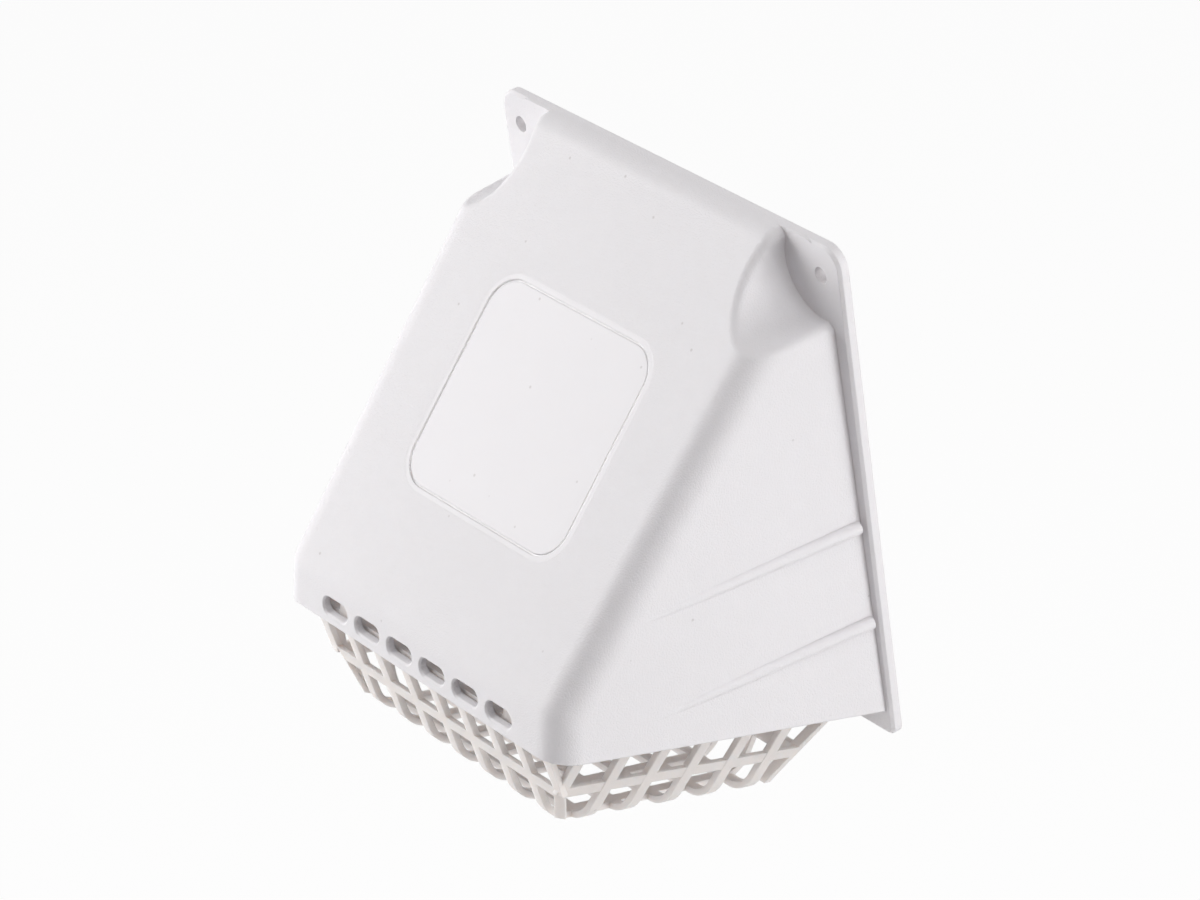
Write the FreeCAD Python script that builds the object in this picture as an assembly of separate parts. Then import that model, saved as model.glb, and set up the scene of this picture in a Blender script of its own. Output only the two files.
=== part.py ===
# Wall cap for a clothes dryer duct: a drafted hood with a mounting flange, a gravity
# damper flap over the duct opening and a lift-out bird guard in the mouth.
# Millimetres. The origin is the duct's centre on the wall plane, the front faces -Y, +Z is up.
import FreeCAD, Part
import math
import os

V = FreeCAD.Vector

# Flange against the wall
flange_width = 152.0
flange_height = 153.0
flange_thickness = 3.2
flange_top_radius = 6.5
flange_bottom_radius = 3.0
flange_chamfer = 0.9
screw_hole_diameter = 4.8
screw_from_side = 8.4
screw_from_top = 9.6

# Hood
wall = 2.4
foot_width = 147.7
foot_height = 7.9
hood_depth = 106.8
mouth_tilt = math.radians(15.6)
lip_height = 13.4
lip_lean = math.radians(11.4)
top_ledge = 6.8
side_draft_up = math.radians(1.4)
side_draft_out = math.radians(4.2)
corner_radius = 9.2
fold_radius = 12.0
top_roll_radius = 8.0

# Screw pockets in the hood's upper corners, placed from the sides of its foot
pocket_radius = 14.4
pocket_from_side = 6.85
pocket_from_top = 8.8
pocket_draft = math.radians(2.0)
pocket_edge_radius = 2.8

# Bare panel in the sloping face, with a narrow groove round it
panel_width = 72.0
panel_length = 64.0
panel_corner_radius = 10.0
panel_depth = 0.2
panel_from_fold = 35.0
panel_groove_width = 0.6
panel_groove_depth = 0.55

# Slots through the lip
slot_count = 6
slot_pitch = 15.65
slot_length = 11.5
slot_height = 5.0
slot_end_radius = 2.4
slot_above_edge = 5.0
slot_chamfer = 0.5

# Side ribs, which fade into the wall
rib_heights = (67.7, 37.5)
rib_radius = 1.8
rib_rise = 2.4
rib_start = 1.0
rib_fade = 70.0

# Duct collar and damper seat
duct_bore = 96.0
collar_wall = 2.2
collar_length = 12.0
seat_width = 3.0
seat_rise = 2.5

# Damper flap and its hinge
flap_overlap = 1.5
flap_thickness = 1.8
flap_seat_gap = 0.3
flap_lip_width = 1.6
flap_lip_rise = 1.8
hinge_above_bore = 7.5
knuckle_length = 68.0
knuckle_radius = 2.6
knuckle_gap = 0.4
pivot_diameter = 3.0
pivot_clearance = 0.08
ear_thickness = 3.0
ear_side_gap = 0.4
ear_wall = 1.8

# Bird guard
guard_clearance = 0.4
guard_front_inset = 1.8
guard_side_inset = 2.8
guard_rim_height = 3.6
guard_rim_width = 4.4
guard_rim_sink = 0.3
guard_depth = 29.3
front_lean = math.radians(26.3)
side_lean = math.radians(28.0)
back_lean = math.radians(20.0)
back_from_wall = 11.8
bar_width = 3.6
bar_depth = 1.9
bar_round = 11.0
front_pitch = 13.4
side_pitch = 13.2
side_arm_from_front = 8.5
first_side_bar = 23.4
rail_drop = 14.9
post_width = 3.0
post_rise = 3.2
tongue_width = 4.0
tongue_thickness = 1.6

# Places worked out from the sizes above
top_z = flange_height / 2
bottom_z = -flange_height / 2
foot_z = bottom_z + foot_height
wall_y = -flange_thickness
lip_y = -hood_depth
lip_z = foot_z + (hood_depth - flange_thickness) * math.tan(mouth_tilt)
mouth_length = (hood_depth - flange_thickness) / math.cos(mouth_tilt)
fold_y = lip_y + lip_height * math.sin(lip_lean)
fold_z = lip_z + lip_height * math.cos(lip_lean)
face_slope = math.atan2(top_z - fold_z, -top_ledge - fold_y)
screw_x = flange_width / 2 - screw_from_side
screw_z = top_z - screw_from_top
pocket_x = foot_width / 2 - pocket_from_side
pocket_z = top_z - pocket_from_top
overrun = 40.0
hinge_y = wall_y - knuckle_gap - knuckle_radius
seat_radius = duct_bore / 2 + seat_width
hinge_z = seat_radius + hinge_above_bore
flap_back_y = wall_y - seat_rise - flap_seat_gap
ear_x = knuckle_length / 2 + ear_side_gap
pivot_hole = pivot_diameter + 2 * pivot_clearance
rim_top = -guard_rim_sink - guard_rim_height
bar_top = -guard_rim_sink - guard_rim_height / 2
guard_back = guard_clearance - rim_top * math.tan(mouth_tilt)


def line_crossing(p, d, q, e):
    """Where the line through p along d meets the line through q along e, all in one plane."""
    n = d.cross(e)
    return p + d * ((q - p).cross(e).dot(n) / n.dot(n))


def inset_outline(points, insets, normal):
    """Corners of a convex outline, counter-clockwise about normal, with each side moved inwards."""
    count = len(points)
    starts = []
    ways = []
    for i in range(count):
        way = (points[(i + 1) % count] - points[i]).normalize()
        starts.append(points[i] + normal.cross(way) * insets[i])
        ways.append(way)
    return [line_crossing(starts[i - 1], ways[i - 1], starts[i], ways[i]) for i in range(count)]


def rounded_wire(points, radii):
    """Closed wire through the points, with an arc of its own radius at each corner."""
    count = len(points)
    edges = []
    ends = []
    for i in range(count):
        corner = points[i]
        back = (points[i - 1] - corner).normalize()
        ahead = (points[(i + 1) % count] - corner).normalize()
        if radii[i] <= 0:
            ends.append((corner, corner))
            continue
        half = back.getAngle(ahead) / 2
        reach = radii[i] / math.tan(half)
        first = corner + back * reach
        last = corner + ahead * reach
        middle = (back + ahead).normalize()
        centre = corner + middle * (radii[i] / math.sin(half))
        edges.append(Part.Arc(first, centre - middle * radii[i], last).toShape())
        ends.append((first, last))
    for i in range(count):
        start = ends[i][1]
        stop = ends[(i + 1) % count][0]
        if start.distanceToPoint(stop) > 1e-6:
            edges.append(Part.LineSegment(start, stop).toShape())
    return Part.Wire(Part.__sortEdges__(edges))


def prism(wire, way):
    return Part.Face(wire).extrude(way)


def fuse_all(solids):
    return solids[0].multiFuse(solids[1:]).removeSplitter()


def side_x(y, z, inset=0.0):
    """Half-width of the hood's drafted side walls at a place on them."""
    up = math.tan(side_draft_up)
    out = math.tan(side_draft_out)
    drawn_in = inset * math.sqrt(1 + up * up + out * out)
    return foot_width / 2 - up * (z - foot_z) + out * (y - wall_y) - drawn_in


def side_wedge(inset):
    """Block between the two drafted side planes."""
    near, far = -hood_depth - overrun, overrun
    low, high = bottom_z - overrun, top_z + overrun
    p = {}
    for side in (-1, 1):
        for y in (near, far):
            for z in (low, high):
                p[side, y, z] = V(side * side_x(y, z, inset), y, z)
    loops = [[p[-1, y, low], p[1, y, low], p[1, y, high], p[-1, y, high]] for y in (near, far)]
    loops += [[p[-1, near, z], p[1, near, z], p[1, far, z], p[-1, far, z]] for z in (low, high)]
    loops += [[p[s, near, low], p[s, far, low], p[s, far, high], p[s, near, high]] for s in (-1, 1)]
    faces = [Part.Face(Part.makePolygon(loop + loop[:1])) for loop in loops]
    return Part.makeSolid(Part.makeShell(faces))


def hood_form(inset):
    """The hood's full form drawn in by inset, running on past the mouth and the wall plane."""
    low = bottom_z - overrun / 2
    half = flange_width
    low_y = lip_y - (lip_z - low) * math.tan(lip_lean)
    corners = [
        V(-half, overrun / 2, low),
        V(-half, overrun / 2, top_z),
        V(-half, -top_ledge, top_z),
        V(-half, fold_y, fold_z),
        V(-half, low_y, low),
    ]
    corners = inset_outline(corners, [0, inset, inset, inset, 0], V(1, 0, 0))
    radii = [0, 0, top_roll_radius - inset, fold_radius - inset, 0]
    form = prism(rounded_wire(corners, radii), V(2 * half, 0, 0)).common(side_wedge(inset))
    chain = []
    for edge in form.Edges:
        mid = edge.valueAt((edge.FirstParameter + edge.LastParameter) / 2)
        on_side = abs(abs(mid.x) - side_x(mid.y, mid.z, inset)) < 1e-4
        if on_side and mid.y < overrun / 2 - 1e-3 and mid.z > low + 1e-3:
            chain.append(edge)
    return form.makeFillet(corner_radius - inset, chain)


def above_mouth():
    """Everything over the slanting plane of the mouth."""
    reach = 2 * hood_depth
    rise = math.tan(mouth_tilt)
    corners = [
        V(-flange_width, reach, foot_z + (wall_y - reach) * rise),
        V(-flange_width, reach, top_z + reach),
        V(-flange_width, -reach, top_z + reach),
        V(-flange_width, -reach, foot_z + (wall_y + reach) * rise),
    ]
    return prism(Part.makePolygon(corners + corners[:1]), V(2 * flange_width, 0, 0))


def before_plane(y):
    """Everything on the room side of a plane parallel to the wall."""
    size = 4 * flange_width
    return Part.makeBox(size, size, size, V(-size / 2, y - size, -size / 2))


def screw_pocket(side, grow):
    """Conical pocket that lets a driver reach one screw; its seam lies above the hood."""
    reach = hood_depth
    radius = pocket_radius + grow
    wide = radius + reach * math.tan(pocket_draft)
    foot = V(side * pocket_x, wall_y, pocket_z)
    pocket = Part.makeCone(radius, wide, reach, foot, V(0, -1, 0))
    pocket.rotate(foot, V(0, -1, 0), 180)
    return pocket


def hood_outside():
    form = hood_form(0).common(above_mouth()).common(before_plane(0))
    for side in (-1, 1):
        form = form.cut(screw_pocket(side, 0))
    cones = [face for face in form.Faces if face.Surface.TypeId == "Part::GeomCone"]
    rims = [edge for face in cones for edge in face.Edges if edge.BoundBox.YMin < wall_y - 1e-3]
    return form.makeFillet(pocket_edge_radius, rims)


def hood_cavity():
    form = hood_form(wall).common(before_plane(wall_y))
    for side in (-1, 1):
        form = form.cut(screw_pocket(side, wall))
    return form


def flange():
    corners = [
        V(-flange_width / 2, 0, bottom_z),
        V(flange_width / 2, 0, bottom_z),
        V(flange_width / 2, 0, top_z),
        V(-flange_width / 2, 0, top_z),
    ]
    low, high = flange_bottom_radius, flange_top_radius
    plate = prism(rounded_wire(corners, [low, low, high, high]), V(0, -flange_thickness, 0))
    front = [edge for edge in plate.Edges if edge.BoundBox.YMax < wall_y + 1e-3]
    return plate.makeChamfer(flange_chamfer, front)


def side_rib(side, height):
    """Round rib with a flat end beside the flange, which sinks into the drafted wall."""
    z = bottom_z + height
    near_y = wall_y - rib_start
    far_y = wall_y - rib_fade
    near = V(side * (side_x(near_y, z) + rib_rise - rib_radius), near_y, z)
    far = V(side * (side_x(far_y, z) - rib_radius), far_y, z)
    way = far - near
    return Part.makeCylinder(rib_radius, way.Length, near, way).cut(hood_form(wall / 2))


def lip_slot(index):
    x = (index - (slot_count - 1) / 2) * slot_pitch
    y = lip_y - wall
    z = lip_z + slot_above_edge * math.cos(lip_lean)
    half_l = slot_length / 2
    half_h = slot_height / 2
    corners = [
        V(x - half_l, y, z - half_h),
        V(x + half_l, y, z - half_h),
        V(x + half_l, y, z + half_h),
        V(x - half_l, y, z + half_h),
    ]
    return prism(rounded_wire(corners, [slot_end_radius] * 4), V(0, 6 * wall, 0))


def ease_slots(body):
    """The slots' outer edges on the lip, broken with a small chamfer."""
    foot = V(0, lip_y, lip_z)
    out = V(0, -math.cos(lip_lean), math.sin(lip_lean))
    edges = []
    for face in body.Faces:
        flat = face.Surface.TypeId == "Part::GeomPlane"
        if flat and all(abs((vertex.Point - foot).dot(out)) < 1e-3 for vertex in face.Vertexes):
            holes = [wire for wire in face.Wires if not wire.isSame(face.OuterWire)]
            edges += [edge for wire in holes for edge in wire.Edges]
    return body.makeChamfer(slot_chamfer, edges)


def panel_outline(inset, lift):
    """Rounded outline of the panel, drawn in by inset and raised off the sloping face by lift."""
    up = V(0, math.cos(face_slope), math.sin(face_slope))
    out = V(0, -math.sin(face_slope), math.cos(face_slope))
    centre = V(0, fold_y, fold_z) + up * (panel_from_fold + panel_length / 2) + out * lift
    across = V(panel_width / 2 - inset, 0, 0)
    along = up * (panel_length / 2 - inset)
    corners = [centre - across - along, centre + across - along]
    corners += [centre + across + along, centre - across + along]
    return rounded_wire(corners, [panel_corner_radius - inset] * 4)


def panel_cutter():
    """Shallow panel and the narrow groove round it."""
    inwards = V(0, math.sin(face_slope), -math.cos(face_slope))
    deep = prism(panel_outline(0, wall), inwards * (wall + panel_groove_depth))
    plateau = prism(panel_outline(panel_groove_width, -panel_depth), inwards * wall)
    return deep.cut(plateau)


def hinge_ear(side):
    """Bracket on the back wall with the bore that one pivot of the flap turns in."""
    radius = pivot_hole / 2 + ear_wall
    start = V(ear_x if side > 0 else -ear_x - ear_thickness, 0, hinge_z)
    across = V(ear_thickness, 0, 0)
    knob = Part.makeCylinder(radius, ear_thickness, start + V(0, hinge_y, 0), V(1, 0, 0))
    corners = [
        start + V(0, wall_y / 2, -radius),
        start + V(0, hinge_y, -radius),
        start + V(0, hinge_y, radius),
        start + V(0, wall_y / 2, radius),
    ]
    web = prism(Part.makePolygon(corners + corners[:1]), across)
    hole = Part.makeCylinder(pivot_hole / 2, ear_thickness, start + V(0, hinge_y, 0), V(1, 0, 0))
    return knob.fuse(web).cut(hole)


def hood():
    shell = hood_outside().cut(hood_cavity())
    collar = Part.makeCylinder(duct_bore / 2 + collar_wall, collar_length, V(0, 0, 0), V(0, 1, 0))
    seat = Part.makeCylinder(seat_radius, seat_rise, V(0, wall_y, 0), V(0, -1, 0))
    solids = [shell, flange(), collar, seat]
    solids += [hinge_ear(side) for side in (-1, 1)]
    solids += [side_rib(side, height) for side in (-1, 1) for height in rib_heights]
    body = fuse_all(solids)
    length = collar_length + flange_thickness + seat_rise
    cutters = [Part.makeCylinder(duct_bore / 2, length, V(0, collar_length, 0), V(0, -1, 0))]
    for side in (-1, 1):
        hole = V(side * screw_x, 0, screw_z)
        cutters.append(Part.makeCylinder(screw_hole_diameter / 2, flange_thickness, hole, V(0, -1, 0)))
    cutters += [lip_slot(index) for index in range(slot_count)]
    cutters.append(panel_cutter())
    for cutter in cutters:
        body = body.cut(cutter)
    return ease_slots(body)


def damper_flap():
    """Round flap with a straight hinge edge, a stiffening lip and two pivots moulded on its ends."""
    radius = seat_radius + flap_overlap
    back = V(0, flap_back_y, 0)
    out = V(0, -1, 0)
    half = knuckle_length / 2
    disc = Part.makeCylinder(radius, flap_thickness, back, out)
    tab = Part.makeBox(knuckle_length, flap_thickness, hinge_z, V(-half, flap_back_y - flap_thickness, 0))
    front = back + out * flap_thickness
    lip = Part.makeCylinder(radius, flap_lip_rise, front, out)
    lip = lip.cut(Part.makeCylinder(radius - flap_lip_width, flap_lip_rise, front, out))
    knuckle = Part.makeCylinder(knuckle_radius, knuckle_length, V(-half, hinge_y, hinge_z), V(1, 0, 0))
    pivot_length = knuckle_length + 2 * (ear_side_gap + ear_thickness)
    start = V(-pivot_length / 2, hinge_y, hinge_z)
    pivots = Part.makeCylinder(pivot_diameter / 2, pivot_length, start, V(1, 0, 0))
    return fuse_all([disc, tab, lip, knuckle, pivots])


def mouth_x(v, inset):
    """Half-width inside the mouth, v along the mouth from the wall."""
    y = wall_y - v * math.cos(mouth_tilt)
    z = foot_z + v * math.sin(mouth_tilt)
    return side_x(y, z) - wall - inset


def front_v(n):
    """Outside of the basket's front at depth n below the mouth plane."""
    return mouth_length - wall - guard_front_inset - n * math.tan(front_lean)


def back_v(n):
    return back_from_wall + n * math.tan(back_lean)


def basket_x(v, n):
    """Outside of the basket's sides at a place along the mouth and a depth below it."""
    return mouth_x(v, guard_side_inset + n * math.tan(side_lean))


def outline_at(n, inset):
    """Corners of the basket at depth n; x right, y to the wall, z up from the mouth plane."""
    front = front_v(n) - inset
    back = back_v(n) + inset
    narrow = basket_x(front, n) - inset
    wide = basket_x(back, n) - inset
    return [V(-narrow, -front, -n), V(narrow, -front, -n), V(wide, -back, -n), V(-wide, -back, -n)]


def closed(points):
    return Part.makePolygon(points + points[:1])


def corner_flat(n, index):
    """Ends of the flat that cuts off one front corner of the basket, on its front and on its side."""
    corners = outline_at(n, 0)
    corner = corners[index]
    cut = post_width / math.sqrt(2)
    return [corner + (corners[i] - corner).normalize() * cut for i in (1 - index, 3 - index)]


def cut_outline(n):
    """Outline of the basket at depth n with its front corners cut off."""
    left = corner_flat(n, 0)
    right = corner_flat(n, 1)
    return [left[0], right[0], right[1]] + outline_at(n, 0)[2:] + [left[1]]


def mid_rail():
    """Rail round the basket half-way down, following its leaning sides."""
    depths = (rail_drop - bar_width / 2, rail_drop + bar_width / 2)
    outside = Part.makeLoft([closed(cut_outline(n)) for n in depths], True, True)
    inside = Part.makeLoft([closed(outline_at(n, bar_depth)) for n in depths], True, True)
    return outside.cut(inside)


def u_bar(corners, normal):
    """Bar that runs down one side, under and up the other, rounded where it turns."""
    inner = inset_outline(corners, [bar_depth] * 3 + [0], normal)
    outer_wire = rounded_wire(corners, [0, bar_round, bar_round, 0])
    inner_wire = rounded_wire(inner, [0, bar_round - bar_depth, bar_round - bar_depth, 0])
    band = Part.Face(outer_wire).cut(Part.Face(inner_wire))
    return band.extrude(normal * bar_width)


def lengthways_bar(x):
    """Bar under the basket from front to back, then flat along the mouth to the wall."""
    start = x - bar_width / 2
    corners = [
        V(start, -front_v(bar_top), -bar_top),
        V(start, -front_v(guard_depth), -guard_depth),
        V(start, -back_v(guard_depth), -guard_depth),
        V(start, -back_v(bar_top), -bar_top),
    ]
    tail = back_from_wall - guard_back
    flat = Part.makeBox(bar_width, tail, guard_rim_height, V(start, -back_from_wall, guard_rim_sink))
    return [u_bar(corners, V(1, 0, 0)), flat]


def crossways_bar(v):
    """Bar under the basket from side to side."""
    start = bar_width / 2 - v
    top = basket_x(v, bar_top)
    low = basket_x(v, guard_depth)
    corners = [
        V(-top, start, -bar_top),
        V(-low, start, -guard_depth),
        V(low, start, -guard_depth),
        V(top, start, -bar_top),
    ]
    return u_bar(corners, V(0, -1, 0))


def front_arm(x):
    """Short bar of the front that stops at the mid rail, beside a corner."""
    start = x - bar_width / 2
    top = -front_v(bar_top)
    low = -front_v(rail_drop)
    corners = [V(start, top, -bar_top), V(start, low, -rail_drop)]
    corners += [V(start, low + bar_depth, -rail_drop), V(start, top + bar_depth, -bar_top)]
    return prism(closed(corners), V(bar_width, 0, 0))


def side_arm(side, v):
    start = bar_width / 2 - v
    top = basket_x(v, bar_top)
    low = basket_x(v, rail_drop)
    corners = [V(side * top, start, -bar_top), V(side * low, start, -rail_drop)]
    corners += [V(side * (low - bar_depth), start, -rail_drop)]
    corners += [V(side * (top - bar_depth), start, -bar_top)]
    return prism(closed(corners), V(0, -bar_width, 0))


def front_post(index):
    """Post below the mid rail at one front corner; it ends flat, short of the bars' underside."""
    wires = []
    for n in (rail_drop - bar_width / 2, guard_depth - post_rise):
        outer = corner_flat(n, index)
        inwards = (outline_at(n, bar_depth)[index] - outline_at(n, 0)[index]).normalize() * bar_depth
        wires.append(closed(outer + [point + inwards for point in outer[::-1]]))
    return Part.makeLoft(wires, True, True)


def back_post(side):
    """Upright at one corner of the basket's back."""
    wires = []
    for n in (bar_top, guard_depth - post_rise):
        outer = []
        inner = []
        for v in (back_v(n), back_v(n) + bar_depth):
            outer.append(V(side * basket_x(v, n), -v, -n))
            inner.append(V(side * (basket_x(v, n) - bar_width), -v, -n))
        wires.append(closed(outer + inner[::-1]))
    return Part.makeLoft(wires, True, True)


def guard_rim():
    """Flat frame that fits just inside the mouth and carries the basket."""
    front = mouth_length - wall - guard_clearance
    frames = []
    for width in (0, guard_rim_width):
        wide = mouth_x(guard_back + width, guard_clearance + width)
        narrow = mouth_x(front - width, guard_clearance + width)
        corners = [V(-narrow, width - front, guard_rim_sink), V(narrow, width - front, guard_rim_sink)]
        back = -guard_back - width
        corners += [V(wide, back, guard_rim_sink), V(-wide, back, guard_rim_sink)]
        radius = corner_radius - wall - guard_clearance - width
        frames.append(prism(rounded_wire(corners, [radius, radius, 0, 0]), V(0, 0, guard_rim_height)))
    return frames[0].cut(frames[1])


def snap_tongue(side):
    """Upright tongue of the rim that shows through one of the outer slots."""
    x = side * slot_pitch * (slot_count - 1) / 2
    height = slot_above_edge + slot_height / 2 - guard_rim_sink
    corner = V(x - tongue_width / 2, wall + guard_clearance - mouth_length, guard_rim_sink)
    return Part.makeBox(tongue_width, tongue_thickness, height, corner)


def bird_guard():
    """Grid basket that hangs in the mouth, made level and then turned to the mouth's slant."""
    solids = [guard_rim(), mid_rail()]
    low_x = outline_at(guard_depth, 0)[1].x
    steps = int((outline_at(0, 0)[1].x - bar_width) / front_pitch)
    for step in range(-steps, steps + 1):
        x = step * front_pitch
        if abs(x) + bar_width < low_x:
            solids += lengthways_bar(x)
        else:
            solids.append(front_arm(x))
    first_v = front_v(0) - first_side_bar
    rows = int((first_v - back_v(guard_depth) - bar_depth) / side_pitch)
    solids += [crossways_bar(first_v - row * side_pitch) for row in range(rows + 1)]
    solids += [side_arm(side, front_v(0) - side_arm_from_front) for side in (-1, 1)]
    solids += [front_post(index) for index in (0, 1)]
    solids += [back_post(side) for side in (-1, 1)]
    solids += [snap_tongue(side) for side in (-1, 1)]
    guard = fuse_all(solids)
    guard.rotate(V(0, 0, 0), V(1, 0, 0), -math.degrees(mouth_tilt))
    guard.translate(V(0, wall_y, foot_z))
    return guard


def export(name, shape):
    shape.exportStep("parts/" + name + ".step")
    print(name, "valid", shape.isValid(), "solids", len(shape.Solids), "volume", round(shape.Volume))


os.makedirs("parts", exist_ok=True)
export("hood", hood())
export("damper_flap", damper_flap())
export("bird_guard", bird_guard())
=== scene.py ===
"""Looks of a dryer vent cap: moulded plastic finishes, studio light and camera around its CAD frame."""
import math

import bmesh
import bpy
from mathutils import Matrix, Vector


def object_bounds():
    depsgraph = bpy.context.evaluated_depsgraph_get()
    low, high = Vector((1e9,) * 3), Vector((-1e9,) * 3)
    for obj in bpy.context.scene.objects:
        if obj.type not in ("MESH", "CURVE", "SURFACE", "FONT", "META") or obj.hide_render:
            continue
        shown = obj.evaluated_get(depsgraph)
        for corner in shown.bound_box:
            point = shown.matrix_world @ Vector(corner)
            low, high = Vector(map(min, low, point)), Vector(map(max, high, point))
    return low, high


bl_info = {
    "name": "Dryer Vent Cap",
    "version": (1, 0, 0),
    "blender": (4, 5, 0),
    "location": "View3D > Sidebar > Vent Cap",
    "description": "Dresses the hood, damper flap and bird guard of a dryer vent cap",
    "category": "Object",
}

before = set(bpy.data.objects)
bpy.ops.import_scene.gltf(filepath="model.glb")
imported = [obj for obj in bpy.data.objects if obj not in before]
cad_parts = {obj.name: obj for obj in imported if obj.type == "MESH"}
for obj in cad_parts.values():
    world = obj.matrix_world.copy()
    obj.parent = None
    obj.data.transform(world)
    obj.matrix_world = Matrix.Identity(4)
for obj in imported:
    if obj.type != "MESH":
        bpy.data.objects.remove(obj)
CAD_LOW, CAD_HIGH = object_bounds()
MM = 0.001
WHITE = (1.0, 1.0, 1.0, 1.0)

# Soft lamps: name, azimuth and elevation in degrees, size in metres, and the property of the level
LAMPS = (
    ("key_softbox", -57, 22, 1.0, "key_level"),
    ("side_softbox", 116, 24, 1.0, "side_level"),
    ("top_softbox", 75, 52, 1.0, "top_level"),
    ("fill_softbox", -28, -27, 0.5, "fill_level"),
    ("low_softbox", 108, -16, 0.5, "low_level"),
    ("back_softbox", 178, 20, 1.0, "back_level"),
)
LAMP_DISTANCE = 1.3

# Share of plain white in the floor where it is seen directly
FLOOR_GLOW = 0.96

# Bare panel in the hood's sloping face, and the smooth margin that the grain leaves round it
PANEL_CENTRE = (0.0, -58.1 * MM, 22.2 * MM)
PANEL_SLOPE = math.radians(46.6)
PANEL_HALF = (36 * MM, 32 * MM)
PANEL_CORNER = 10 * MM
PANEL_MARGIN = 1.8 * MM
PANEL_FADE = 0.4 * MM

# How far off that face the panel's finish holds, which is less than the hood's wall
PANEL_REACH = 1.0 * MM

# Thin groove just inside the panel's edge, painted near white as a highlight line
GROOVE_INSET = 0.3 * MM
GROOVE_HALF = 0.32 * MM

# Resin tint: shares of the slow drift and the small clouds, and the ramp that spreads their sum
DRIFT_SHARE = 0.65
CLOUD_SHARE = 0.35
TINT_STOPS = ((0.36, 0.0), (0.64, 1.0))

# Ramps that turn a bent normal into a rubbed edge, shelter into dust and painted shade, and a cell's middle
# into a speck
EDGE_STOPS = ((0.0, 1.0), (0.96, 0.0))
CREASE_STOPS = ((0.25, 1.0), (0.85, 0.0))
SPECK_STOPS = ((0.025, 1.0), (0.05, 0.0))

# Dust with painted crease shade: its least share, and how much of it follows the clouds
DUST_AND_SHADE_LEAST = 0.6
DUST_AND_SHADE_SPREAD = 0.8

# Surface height: shares of the grain's pits and the slow waves, and the part of the pits that a panel loses
PIT_SHARE = 0.8
WAVE_SHARE = 0.2
PANEL_LOSS = 0.85

# Roughness: what rubbed edges and the panel lose, and what pits and clouds vary
WORN_GLOSS = 0.10
PANEL_GLOSS = 0.08
PIT_GLOSS = 0.10
CLOUD_GLOSS = 0.06
NOISE_MIDDLE = 0.5


class Field:
    """One shader socket. Arithmetic on it adds Math nodes, and node() adds any other node."""

    def __init__(self, tree, socket=None):
        self.tree = tree
        self.socket = socket

    def node(self, kind, settings=None, sockets=None, out=0):
        """Adds a node, makes its settings first, fills its sockets and returns one of its outputs."""
        made = self.tree.nodes.new(kind)
        for name, value in (settings or {}).items():
            if name == "stops":
                self.set_stops(made.color_ramp, value)
            else:
                setattr(made, name, value)
        for key, value in (sockets or {}).items():
            if isinstance(value, Field):
                self.tree.links.new(value.socket, made.inputs[key])
            else:
                made.inputs[key].default_value = value
        return Field(self.tree, made.outputs[out]) if made.outputs else None

    @staticmethod
    def set_stops(ramp, stops):
        """Gives a ramp its stops, each a place and a grey level."""
        while len(ramp.elements) < len(stops):
            ramp.elements.new(1.0)
        for element, (place, level) in zip(ramp.elements, stops):
            element.position = place
            element.color = (level, level, level, 1.0)

    def math(self, operation, first, second=0.0):
        return self.node("ShaderNodeMath", {"operation": operation}, {0: first, 1: second})

    def __add__(self, other):
        return self.math("ADD", self, other)

    def __radd__(self, other):
        return self.math("ADD", other, self)

    def __sub__(self, other):
        return self.math("SUBTRACT", self, other)

    def __rsub__(self, other):
        return self.math("SUBTRACT", other, self)

    def __mul__(self, other):
        return self.math("MULTIPLY", self, other)

    def __rmul__(self, other):
        return self.math("MULTIPLY", other, self)

    def ramp(self, stops):
        """Grey level that follows the stops as this field goes from 0 to 1."""
        return self.node("ShaderNodeValToRGB", {"stops": stops}, {"Fac": self}, "Color")

    def blend(self, low, high):
        """Colour that goes from low to high as this field goes from 0 to 1."""
        settings = {"data_type": "RGBA"}
        return self.node("ShaderNodeMix", settings, {"Factor": self, "A": low, "B": high}, "Result")


def new_material(name):
    """Material with an empty node tree, and a field that starts its expressions."""
    material = bpy.data.materials.new(name)
    material.use_nodes = True
    material.node_tree.nodes.clear()
    return material, Field(material.node_tree)


def opaque(colour):
    """Colour property with the alpha that a socket needs."""
    return (*colour, 1.0)


def noise(start, place, size, detail, roughness=0.5):
    """Noise whose lumps are about this many metres across."""
    sockets = {"Vector": place, "Scale": 1.0 / size, "Detail": detail, "Roughness": roughness}
    return start.node("ShaderNodeTexNoise", None, sockets, "Fac")


def panel_masks(start, place):
    """Smooth panel with its margin, and the thin groove round it that carries a painted highlight line: 1
    there, 0 on the grained face.
    """
    sockets = {"Vector": place, "Location": PANEL_CENTRE, "Rotation": (PANEL_SLOPE, 0.0, 0.0)}
    level = start.node("ShaderNodeMapping", {"vector_type": "TEXTURE"}, sockets)
    reach = []
    for axis, half in zip("XY", PANEL_HALF):
        along = start.node("ShaderNodeSeparateXYZ", None, {"Vector": level}, axis)
        past_straight = start.math("ABSOLUTE", along) - (half - PANEL_CORNER)
        reach.append(start.math("MAXIMUM", past_straight, 0.0))
    away = start.math("SQRT", reach[0] * reach[0] + reach[1] * reach[1])
    edge = PANEL_CORNER + PANEL_MARGIN
    sockets = {
        "Value": away,
        "From Min": edge - PANEL_FADE,
        "From Max": edge,
        "To Min": 1.0,
        "To Max": 0.0,
    }
    smooth = start.node("ShaderNodeMapRange", {"interpolation_type": "SMOOTHSTEP"}, sockets, "Result")
    off_middle = start.math("ABSOLUTE", away - (PANEL_CORNER - GROOVE_INSET))
    groove = start.math("LESS_THAN", off_middle, GROOVE_HALF)
    height = start.node("ShaderNodeSeparateXYZ", None, {"Vector": level}, "Z")
    near = start.math("LESS_THAN", start.math("ABSOLUTE", height), PANEL_REACH)
    return smooth * near, groove * near


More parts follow.
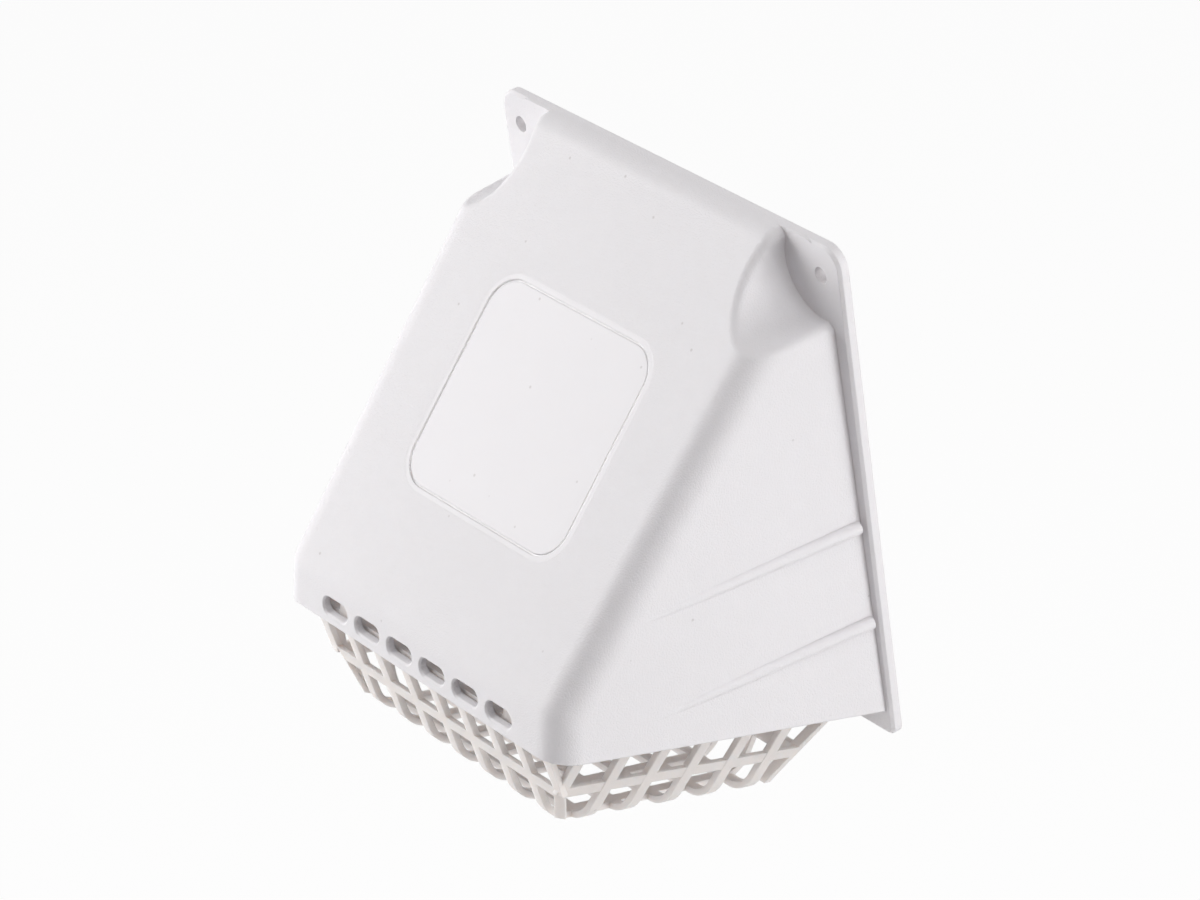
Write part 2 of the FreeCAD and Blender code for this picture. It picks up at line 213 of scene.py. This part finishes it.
def resin_tint(start, place, look, clouds, smooth):
    """Resin whose tint drifts slowly, with small clouds in it, and is even where the face is smooth."""
    drift = noise(start, place, look.drift_size, detail=3.0)
    mottle = (drift * DRIFT_SHARE + clouds * CLOUD_SHARE).ramp(TINT_STOPS)
    return (mottle * (1.0 - smooth)).blend(opaque(look.shade_colour), opaque(look.colour))


def rubbed_edges(start, place, look):
    """Normal that rounds the moulded edges, and how far those edges are rubbed."""
    rounded = start.node("ShaderNodeBevel", {"samples": 6}, {"Radius": look.edge_radius}, "Normal")
    flat = start.node("ShaderNodeNewGeometry", None, None, "Normal")
    settings = {"operation": "DOT_PRODUCT"}
    agree = start.node("ShaderNodeVectorMath", settings, {0: rounded, 1: flat}, "Value")
    scuffs = noise(start, place, look.scuff_size, detail=5.0, roughness=0.65)
    return rounded, agree.ramp(EDGE_STOPS) * scuffs


def crease_dust_and_shade(start, look, clouds, smooth):
    """Dust together with painted shade: creases and slots darkened towards a warm brown by ambient
    occlusion, uneven with the clouds, and none where the face is smooth.
    """
    sockets = {"Distance": look.dust_and_shade_reach}
    open_air = start.node("ShaderNodeAmbientOcclusion", {"samples": 8}, sockets, "AO")
    dust_and_shade_share = look.dust_and_shade * (1.0 - smooth) * (DUST_AND_SHADE_LEAST + DUST_AND_SHADE_SPREAD * clouds)
    return open_air.ramp(CREASE_STOPS) * dust_and_shade_share


def specks(start, place, look):
    """Sparse dark specks in the resin."""
    sockets = {"Vector": place, "Scale": 1.0 / look.speck_gap}
    cells = start.node("ShaderNodeTexVoronoi", {"feature": "F1"}, sockets)
    return cells.ramp(SPECK_STOPS) * look.speck_strength


def moulded_plastic(name, look, polished=None):
    """Grained moulding: mottled resin, rubbed edges, dust with painted crease shade, specks, a painted
    highlight line in any groove, spark-eroded grain and uneven gloss.
    """
    material, start = new_material(name)
    place = start.node("ShaderNodeTexCoord", None, None, "Object")
    smooth, groove = polished(start, place) if polished else (0.0, None)
    clouds = noise(start, place, look.cloud_size, detail=4.0, roughness=0.6)
    rounded, worn = rubbed_edges(start, place, look)

    # Colour, from the resin outwards
    colour = resin_tint(start, place, look, clouds, smooth)
    colour = (worn * look.edge_wear).blend(colour, opaque(look.worn_colour))
    # Creases and slots darkened towards a warm brown: partly dust, partly painted shade
    colour = crease_dust_and_shade(start, look, clouds, smooth).blend(colour, opaque(look.dust_and_shade_colour))
    colour = specks(start, place, look).blend(colour, opaque(look.speck_colour))
    # Painted highlight: a near-white line along the panel's groove
    if groove:
        colour = groove.blend(colour, opaque(look.groove_highlight_colour))

    # Spark-eroded grain from the mould, as bump and as uneven gloss
    pits = noise(start, place, look.grain_size, detail=2.0, roughness=0.6)
    waves = noise(start, place, look.wave_size, detail=1.0)
    height = pits * PIT_SHARE * (1.0 - PANEL_LOSS * smooth) + waves * WAVE_SHARE
    sockets = {
        "Strength": look.grain_strength,
        "Distance": look.grain_depth,
        "Height": height,
        "Normal": rounded,
    }
    normal = start.node("ShaderNodeBump", None, sockets, "Normal")
    uneven = PIT_GLOSS * (pits - NOISE_MIDDLE) + CLOUD_GLOSS * (clouds - NOISE_MIDDLE)
    roughness = look.roughness - WORN_GLOSS * worn + uneven - PANEL_GLOSS * smooth

    sockets = {
        "Base Color": colour,
        "Roughness": roughness,
        "Normal": normal,
        "IOR": look.refraction,
        "Subsurface Weight": look.translucency,
        "Subsurface Radius": look.scatter,
        "Subsurface Scale": look.scatter_depth,
        "Specular IOR Level": look.reflection,
    }
    shader = start.node("ShaderNodeBsdfPrincipled", None, sockets, "BSDF")
    start.node("ShaderNodeOutputMaterial", None, {"Surface": shader})
    return material


def colour_property(name, description, default):
    return bpy.props.FloatVectorProperty(
        name=name, description=description, subtype="COLOR", size=3, default=default
    )


def length_property(name, description, default):
    return bpy.props.FloatProperty(
        name=name, description=description, subtype="DISTANCE", precision=5, default=default
    )


def share_property(name, description, default):
    return bpy.props.FloatProperty(name=name, description=description, subtype="FACTOR", default=default)


def angle_property(name, description, degrees):
    return bpy.props.FloatProperty(
        name=name, description=description, subtype="ANGLE", default=math.radians(degrees)
    )


def level_property(name, description, default):
    return bpy.props.FloatProperty(name=name, description=description, default=default)


class PlasticLook:
    """Finish that all mouldings share."""

    drift_size: length_property("Drift size", "Size of the slow drift of the tint", 60 * MM)
    cloud_size: length_property("Cloud size", "Size of the small clouds in the tint", 7 * MM)
    edge_radius: length_property("Edge radius", "Radius that moulded edges are shaded with", 0.45 * MM)
    edge_wear: share_property("Edge wear", "How far edges are rubbed", 0.6)
    worn_colour: colour_property("Rubbed edge", "Colour of rubbed edges", (0.86, 0.85, 0.86))
    scuff_size: length_property("Scuff size", "Size of the patches of edge wear", 9 * MM)
    # Reach and colour of the crease darkening, which is partly dust and partly painted shade
    dust_and_shade_reach: length_property("Dust reach", "How far dust spreads out of a crease", 5 * MM)
    dust_and_shade_colour: colour_property("Dust colour", "Colour of the dust", (0.52, 0.46, 0.44))
    speck_gap: length_property("Speck gap", "Distance between specks", 11 * MM)
    speck_strength: share_property("Speck strength", "How much of a speck's colour shows", 0.35)
    speck_colour: colour_property("Speck", "Colour of the sparse specks", (0.36, 0.33, 0.32))
    grain_size: length_property("Grain size", "Size of the mould's spark-eroded grain", 0.45 * MM)
    grain_depth: length_property("Grain depth", "Depth of the grain", 0.21 * MM)
    wave_size: length_property("Wave size", "Size of the surface's slow waves", 14 * MM)
    roughness: share_property("Roughness", "Middle roughness", 0.55)
    refraction: level_property("IOR", "Refractive index of the resin", 1.49)
    reflection: share_property("Reflection", "Specular level of the resin", 0.4)
    scatter: bpy.props.FloatVectorProperty(
        name="Scatter",
        description="How far red, green and blue light spread in the resin, as shares of its depth",
        size=3,
        default=(1.0, 0.92, 0.86),
    )
    scatter_depth: length_property("Scatter depth", "How deep light goes into the resin", 3 * MM)


class HoodLook(PlasticLook, bpy.types.PropertyGroup):
    """Grained, faintly lilac moulding of the hood."""

    colour: colour_property("Resin", "Colour of the hood's resin", (0.803, 0.791, 0.812))
    shade_colour: colour_property("Resin shade", "Darker tint in the hood's resin", (0.786, 0.774, 0.793))
    # Groove colour is a painted highlight line, near white, round the panel
    groove_highlight_colour: colour_property("Polished groove", "Colour of the panel's groove", (0.97, 0.96, 0.97))
    translucency: share_property("Translucency", "Light that spreads inside the hood's resin", 0.15)
    # Share of crease darkening in the hood: partly dust, partly painted shade
    dust_and_shade: share_property("Dust", "Dust in the hood's creases and slots", 0.2)
    grain_strength: share_property("Grain strength", "Strength of the hood's grain", 1.0)


class FlapLook(PlasticLook, bpy.types.PropertyGroup):
    """Smoother moulding of the damper flap."""

    colour: colour_property("Resin", "Colour of the flap's resin", (0.79, 0.775, 0.79))
    shade_colour: colour_property("Resin shade", "Darker tint in the flap's resin", (0.755, 0.74, 0.752))
    translucency: share_property("Translucency", "Light that spreads inside the flap's resin", 0.4)
    # Share of crease darkening in the flap: partly dust, partly painted shade
    dust_and_shade: share_property("Dust", "Dust in the flap's creases", 0.2)
    grain_strength: share_property("Grain strength", "Strength of the flap's grain", 0.4)


class GuardLook(PlasticLook, bpy.types.PropertyGroup):
    """Smoother, slightly warmer moulding of the bird guard."""

    colour: colour_property("Resin", "Colour of the guard's resin", (0.845, 0.800, 0.778))
    shade_colour: colour_property("Resin shade", "Darker tint in the guard's resin", (0.815, 0.770, 0.746))
    translucency: share_property("Translucency", "Light that spreads inside the guard's resin", 0.8)
    # Share of crease darkening in the guard: partly dust, partly painted shade
    dust_and_shade: share_property("Dust", "Dust in the guard's corners", 0.12)
    grain_strength: share_property("Grain strength", "Strength of the guard's grain", 0.4)


class StudioLook(bpy.types.PropertyGroup):
    """Camera, lamps, floor and background."""

    aim: bpy.props.FloatVectorProperty(
        name="Aim",
        description="Point that the camera looks at",
        subtype="TRANSLATION",
        size=3,
        default=(0.0010, -0.0369, 0.0020),
    )
    azimuth: angle_property("Azimuth", "Way round the cap, from its front", 57.27)
    elevation: angle_property("Elevation", "Height of the view above the level", 30.11)
    roll: angle_property("Roll", "Lean of the picture", -8.3)
    distance: length_property("Distance", "From the camera to its aim", 1.4916)
    lens: bpy.props.FloatProperty(
        name="Lens", description="Focal length", subtype="DISTANCE_CAMERA", default=162.0
    )
    key_level: level_property("Key", "Level of the lamp at the front left", 1.0)
    side_level: level_property("Side", "Level of the lamp behind on the right", 0.36)
    top_level: level_property("Top", "Level of the lamp high on the right", 0.36)
    fill_level: level_property("Fill", "Level of the low lamp in front", 0.31)
    low_level: level_property("Low", "Level of the low lamp on the right", 0.36)
    back_level: level_property("Back", "Level of the lamp behind", 0.3)
    ambient_level: level_property("Ambient", "Level of the world's light", 0.085)
    ambient_colour: colour_property("Ambient colour", "Colour of the world's light", (1.0, 0.86, 0.84))
    floor_drop: length_property("Floor drop", "From the guard's underside down to the floor", 0.75)
    floor_size: length_property("Floor size", "Width of the floor", 8.0)
    floor_colour: colour_property("Floor", "Colour of the floor", (0.93, 0.93, 0.93))


class VentCapLook(bpy.types.PropertyGroup):
    """All finishes of the cap, and its studio."""

    hood: bpy.props.PointerProperty(type=HoodLook, name="Hood", description="Finish of the hood")
    flap: bpy.props.PointerProperty(type=FlapLook, name="Flap", description="Finish of the damper flap")
    guard: bpy.props.PointerProperty(type=GuardLook, name="Guard", description="Finish of the bird guard")
    studio: bpy.props.PointerProperty(type=StudioLook, name="Studio", description="Camera, lamps and floor")


def finish_node(node, material):
    """Gives a CAD node its better material."""
    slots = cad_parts[node].data.materials
    slots.clear()
    slots.append(material)


class VENTCAP_OT_hood(bpy.types.Operator):
    """Finish the hood with its flange as grained off-white plastic"""

    bl_idname = "ventcap.hood"
    bl_label = "Dress Hood"

    def execute(self, context):
        look = context.scene.vent_cap.hood
        finish_node("hood", moulded_plastic("grained_hood_plastic", look, panel_masks))
        return {"FINISHED"}


class VENTCAP_OT_flap(bpy.types.Operator):
    """Finish the damper flap as smoother plastic"""

    bl_idname = "ventcap.flap"
    bl_label = "Dress Damper Flap"

    def execute(self, context):
        look = context.scene.vent_cap.flap
        finish_node("damper_flap", moulded_plastic("smooth_flap_plastic", look))
        return {"FINISHED"}


class VENTCAP_OT_guard(bpy.types.Operator):
    """Finish the bird guard as smoother, slightly warmer plastic"""

    bl_idname = "ventcap.guard"
    bl_label = "Dress Bird Guard"

    def execute(self, context):
        look = context.scene.vent_cap.guard
        finish_node("bird_guard", moulded_plastic("smooth_guard_plastic", look))
        return {"FINISHED"}


def standing(target, azimuth, elevation, distance):
    """Place of a camera or lamp that faces a target from this way; azimuth 0 is straight in front."""
    level = math.cos(elevation)
    back = Vector((math.sin(azimuth) * level, -math.cos(azimuth) * level, math.sin(elevation)))
    turn = (-back).to_track_quat("-Z", "Y").to_matrix().to_4x4()
    return Matrix.Translation(target + back * distance) @ turn


def add_camera(studio):
    """Camera at the photograph's viewing angle."""
    data = bpy.data.cameras.new("photo_camera")
    data.lens = studio.lens
    camera = bpy.data.objects.new("photo_camera", data)
    place = standing(Vector(studio.aim), studio.azimuth, studio.elevation, studio.distance)
    camera.matrix_world = place @ Matrix.Rotation(studio.roll, 4, "Z")
    bpy.context.scene.collection.objects.link(camera)
    bpy.context.scene.camera = camera


def add_lamp(name, azimuth, elevation, size, level):
    """Soft square lamp; a level of 1 lights a facing white surface to white."""
    data = bpy.data.lights.new(name, "AREA")
    data.shape = "SQUARE"
    data.size = size
    data.energy = level * (math.pi * LAMP_DISTANCE) ** 2
    lamp = bpy.data.objects.new(name, data)
    middle = (CAD_LOW + CAD_HIGH) / 2
    lamp.matrix_world = standing(middle, math.radians(azimuth), math.radians(elevation), LAMP_DISTANCE)
    lamp.visible_camera = False
    bpy.context.scene.collection.objects.link(lamp)


def seen_directly(start):
    """1 for what the camera, a reflection or clear plastic sees, 0 for light on a surface."""
    names = ("Is Camera Ray", "Is Glossy Ray", "Is Transmission Ray")
    camera, glossy, through = [start.node("ShaderNodeLightPath", None, None, name) for name in names]
    return start.math("MAXIMUM", start.math("MAXIMUM", camera, glossy), through)


def white_world(studio):
    """Background that is seen as white and gives a little warm light."""
    world = bpy.data.worlds.new("white_studio")
    world.use_nodes = True
    world.node_tree.nodes.clear()
    start = Field(world.node_tree)
    sockets = {"Color": opaque(studio.ambient_colour), "Strength": studio.ambient_level}
    light = start.node("ShaderNodeBackground", None, sockets)
    white = start.node("ShaderNodeBackground", None, {"Color": WHITE, "Strength": 1.0})
    both = start.node("ShaderNodeMixShader", None, {0: seen_directly(start), 1: light, 2: white})
    start.node("ShaderNodeOutputWorld", None, {"Surface": both})
    bpy.context.scene.world = world


def pale_floor(studio):
    """Pale diffuse floor that looks almost white where it is seen directly."""
    material, start = new_material("pale_floor")
    pale = start.node("ShaderNodeBsdfDiffuse", None, {"Color": opaque(studio.floor_colour)})
    glow = start.node("ShaderNodeEmission", None, {"Color": WHITE, "Strength": 1.0})
    part = seen_directly(start) * FLOOR_GLOW
    both = start.node("ShaderNodeMixShader", None, {0: part, 1: pale, 2: glow})
    start.node("ShaderNodeOutputMaterial", None, {"Surface": both})
    return material


def add_floor(studio):
    """Plain floor some way below the cap, which hangs on a wall."""
    shape = bmesh.new()
    down = Matrix.Translation((0.0, 0.0, CAD_LOW.z - studio.floor_drop))
    bmesh.ops.create_grid(shape, x_segments=1, y_segments=1, size=studio.floor_size / 2, matrix=down)
    mesh = bpy.data.meshes.new("floor")
    shape.to_mesh(mesh)
    shape.free()
    mesh.materials.append(pale_floor(studio))
    floor = bpy.data.objects.new("floor", mesh)
    bpy.context.scene.collection.objects.link(floor)


class VENTCAP_OT_stage(bpy.types.Operator):
    """Set up the floor, lamps, background and camera"""

    bl_idname = "ventcap.stage"
    bl_label = "Set Up Studio"

    def execute(self, context):
        studio = context.scene.vent_cap.studio
        context.scene.view_settings.view_transform = "Standard"
        white_world(studio)
        add_floor(studio)
        for name, azimuth, elevation, size, level in LAMPS:
            add_lamp(name, azimuth, elevation, size, getattr(studio, level))
        add_camera(studio)
        return {"FINISHED"}


class VENTCAP_PT_sidebar(bpy.types.Panel):
    """Lists the cap's operators, colours and lamps"""

    bl_idname = "VENTCAP_PT_sidebar"
    bl_label = "Vent Cap"
    bl_space_type = "VIEW_3D"
    bl_region_type = "UI"
    bl_category = "Vent Cap"

    def draw(self, context):
        for operator in OPERATORS:
            self.layout.operator(operator.bl_idname)
        looks = context.scene.vent_cap
        for name in ("hood", "flap", "guard"):
            self.layout.prop(getattr(looks, name), "colour", text=name.title())
        for *_, level in LAMPS:
            self.layout.prop(looks.studio, level)
        self.layout.prop(looks.studio, "ambient_level")


OPERATORS = (VENTCAP_OT_hood, VENTCAP_OT_flap, VENTCAP_OT_guard, VENTCAP_OT_stage)
CLASSES = (HoodLook, FlapLook, GuardLook, StudioLook, VentCapLook, *OPERATORS, VENTCAP_PT_sidebar)


def register():
    for cls in CLASSES:
        bpy.utils.register_class(cls)
    bpy.types.Scene.vent_cap = bpy.props.PointerProperty(
        type=VentCapLook, name="Vent cap", description="Finishes and studio of the vent cap"
    )


def unregister():
    del bpy.types.Scene.vent_cap
    for cls in reversed(CLASSES):
        bpy.utils.unregister_class(cls)


def main():
    register()
    bpy.ops.ventcap.hood()
    bpy.ops.ventcap.flap()
    bpy.ops.ventcap.guard()
    bpy.ops.ventcap.stage()


if __name__ == "__main__":
    main()
